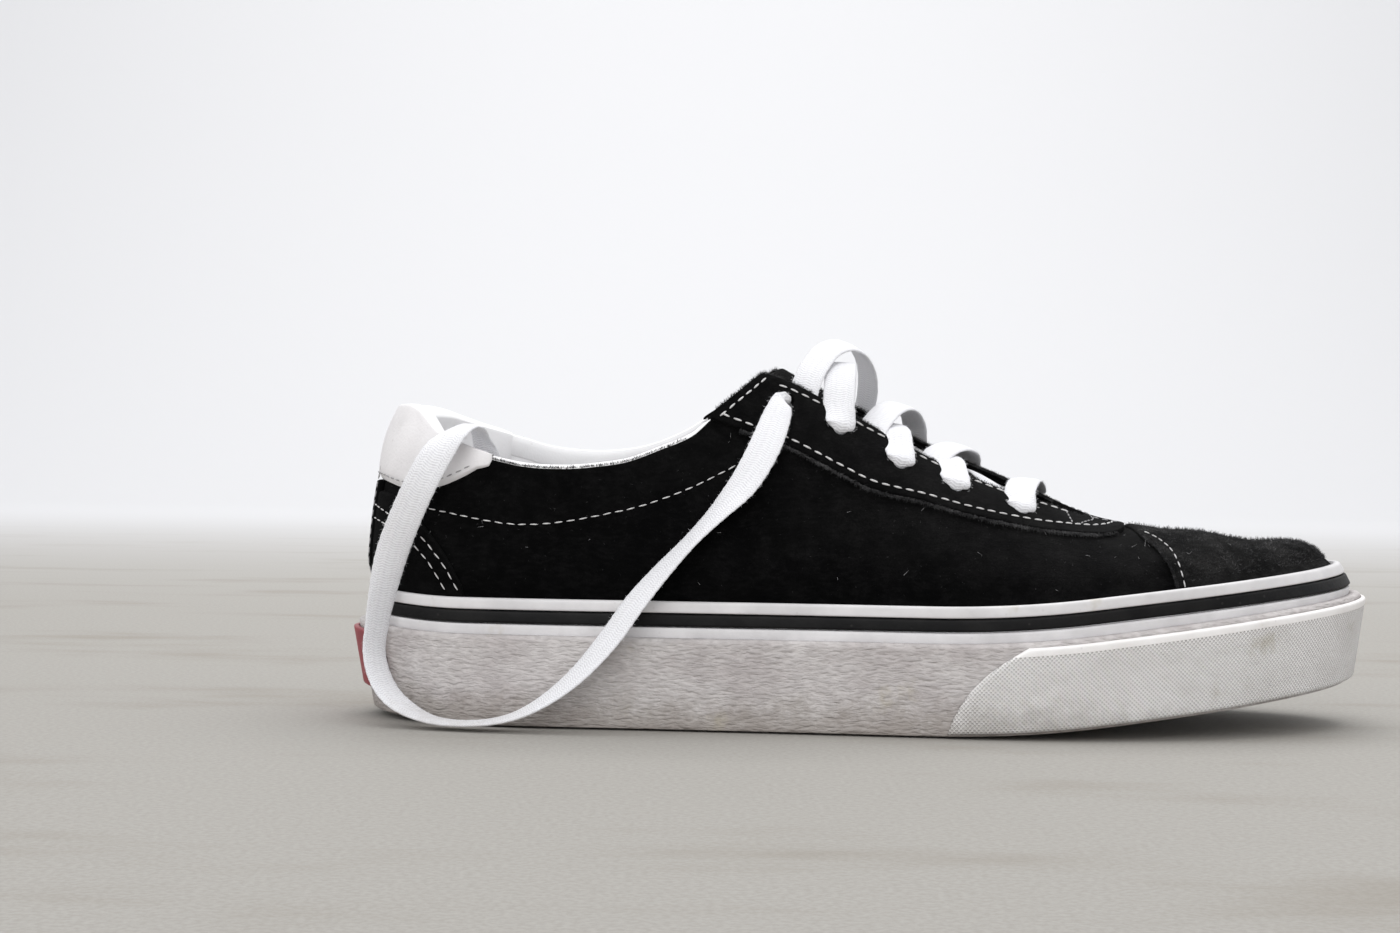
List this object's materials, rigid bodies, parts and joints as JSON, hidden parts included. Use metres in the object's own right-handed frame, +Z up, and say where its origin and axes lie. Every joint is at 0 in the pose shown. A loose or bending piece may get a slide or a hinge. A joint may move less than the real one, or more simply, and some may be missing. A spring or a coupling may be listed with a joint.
{
  "type": "worn low-top lace-up sneaker, right foot",
  "caption": "Worn low-top lace-up sneaker for the right foot: suede upper, padded white heel collar, rubber cup wall with a black line, dimpled toe strip and loose flat laces.",
  "frame": {"origin": "on the floor, below the middle of the shoe's length and width", "axes": "+X towards the toe, -Y towards the outer (little-toe) side, +Z up"},
  "size_m": [0.2954, 0.1065, 0.1104],
  "materials": {
    "suede": "napped black suede, matted and dusty",
    "white_leather": "smooth, slightly scuffed",
    "white_rubber": "matte, grained, dirty towards the floor",
    "black_rubber": "satin",
    "outsole_rubber": "matte, worn",
    "red_rubber": "satin",
    "lace_cotton": "flat weave, slightly fuzzy",
    "lining_textile": "light grey woven",
    "clear_plastic": "clear lace tip"
  },
  "bodies": {
    "root": {"outsole": "outsole_rubber", "sidewall": "white_rubber", "foxing_tape": "white_rubber", "pinstripe": "black_rubber", "foxing_top": "white_rubber", "toe_bumper": "white_rubber", "heel_tab": "red_rubber", "upper": "suede", "tongue": "suede", "insole": "lining_textile", "eyestay_outer": "suede", "eyestay_inner": "suede", "toe_vamp": "suede", "counter_outer": "suede", "counter_inner": "suede", "back_stay": "suede", "heel_patch": "white_leather", "lace_bar": "lace_cotton", "lace_cross_low": "lace_cotton", "lace_cross_high": "lace_cotton", "lace_loop_near": "lace_cotton", "lace_loop_far": "lace_cotton", "lace_end": "lace_cotton", "aglet": "clear_plastic"}
  },
  "joints": []
}
